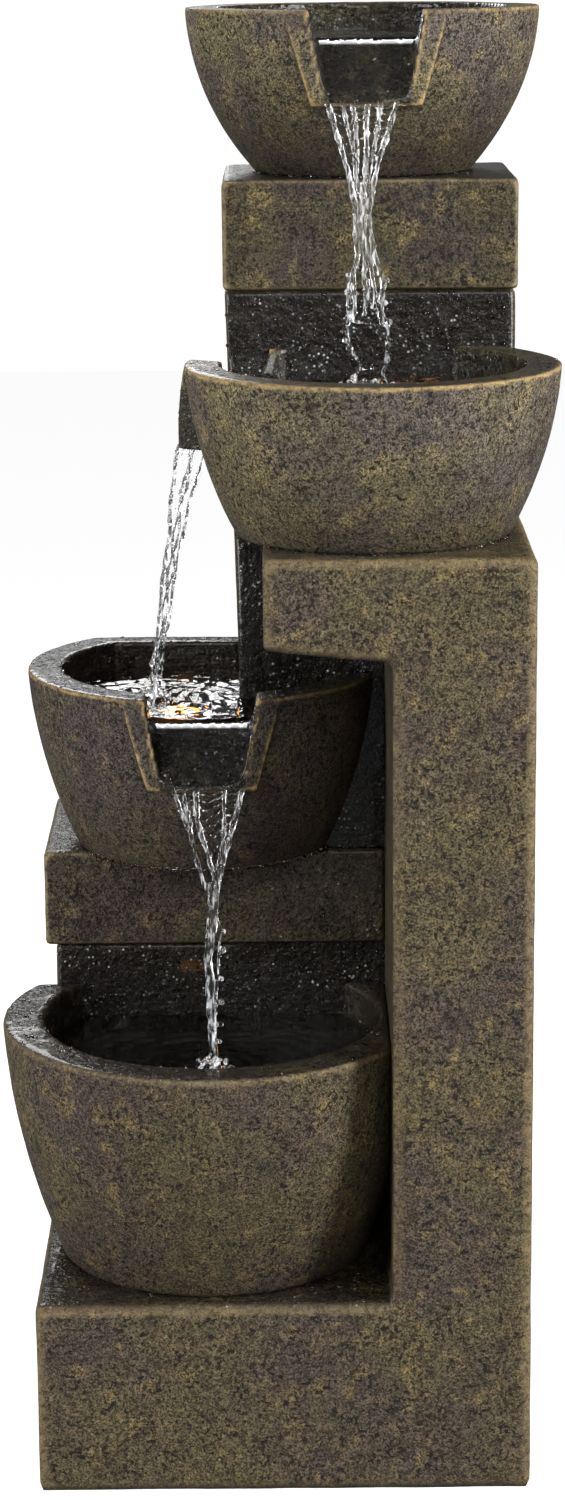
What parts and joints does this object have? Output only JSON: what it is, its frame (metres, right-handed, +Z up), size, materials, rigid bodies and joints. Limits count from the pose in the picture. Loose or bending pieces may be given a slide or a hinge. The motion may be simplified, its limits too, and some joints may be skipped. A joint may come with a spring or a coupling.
{
  "type": "tiered water fountain",
  "caption": "Free-standing garden fountain: round spouted bowls step down a C-shaped cast frame, and a pump in the base lifts the water back to the top bowl.",
  "frame": {"origin": "middle of the rectangle the fountain covers, at ground level", "axes": "+Z up, +X to the right seen from the front, the front faces -Y"},
  "size_m": [0.397, 0.431, 1.02],
  "materials": {
    "cast_resin": "cast polyresin with fibre, weathered bronze-olive finish, pitted, satin where wet",
    "pump_plastic": "moulded, fine texture",
    "impeller_plastic": "moulded",
    "rotor_ferrite": "ground ferrite",
    "shaft_ceramic": "polished",
    "soft_rubber": "matt moulded rubber",
    "clear_hose": "flexible clear vinyl",
    "plated_steel": "zinc plated",
    "fitting_plastic": "moulded",
    "light_housing": "moulded",
    "amber_lens": "moulded amber dome, lit from inside",
    "lead_jacket": "extruded jacket",
    "door_plastic": "moulded, painted to match the castings",
    "water": "clear running water"
  },
  "bodies": {
    "fountain": {"frame_casting": "cast_resin", "rear_column": "cast_resin", "basin_back": "cast_resin", "lower_block": "cast_resin", "upper_block": "cast_resin", "top_bowl": "cast_resin", "second_bowl": "cast_resin", "third_bowl": "cast_resin", "bottom_basin": "cast_resin", "pump_housing": "pump_plastic", "volute": "pump_plastic", "impeller_shaft": "shaft_ceramic", "shaft_bushes": "soft_rubber", "suction_cups": "soft_rubber", "riser_hose": "clear_hose", "hose_clips": "plated_steel", "bowl_inlet": "fitting_plastic", "inlet_washer": "soft_rubber", "inlet_nut": "fitting_plastic", "light_nuts": "fitting_plastic", "light_stand": "fitting_plastic", "lead_splitter": "pump_plastic", "pump_lead": "lead_jacket", "second_bowl_lead": "lead_jacket", "third_bowl_lead": "lead_jacket", "basin_lead": "lead_jacket", "cord_grommet": "soft_rubber", "second_bowl_light_housing": "light_housing", "second_bowl_light_lens": "amber_lens", "second_bowl_light_seal": "soft_rubber", "third_bowl_light_housing": "light_housing", "third_bowl_light_lens": "amber_lens", "third_bowl_light_seal": "soft_rubber", "basin_light_housing": "light_housing", "basin_light_lens": "amber_lens", "basin_light_seal": "soft_rubber"},
    "impeller": {"impeller": "impeller_plastic", "rotor_magnet": "rotor_ferrite"},
    "intake_cover": {"intake_cover": "pump_plastic"},
    "flow_dial": {"flow_dial": "impeller_plastic"},
    "service_door": {"service_door": "door_plastic", "door_seal": "soft_rubber", "door_screws": "plated_steel"}
  },
  "joints": [
    {"name": "impeller_spin", "type": "hinge", "parent": "fountain", "child": "impeller", "pos_m": [0.0661, 0.0885, 0.179], "axis": [1, 0, 0], "continuous": true},
    {"name": "intake_cover_pull", "type": "slide", "parent": "fountain", "child": "intake_cover", "axis": [-1, 0, 0], "range_m": [0, 0.025]},
    {"name": "flow_dial_turn", "type": "hinge", "parent": "intake_cover", "child": "flow_dial", "pos_m": [0.0221, 0.0885, 0.189], "axis": [1, 0, 0], "range_deg": [0, 90]},
    {"name": "service_door_lift", "type": "slide", "parent": "fountain", "child": "service_door", "axis": [0, 1, 0], "range_m": [0, 0.12]}
  ]
}
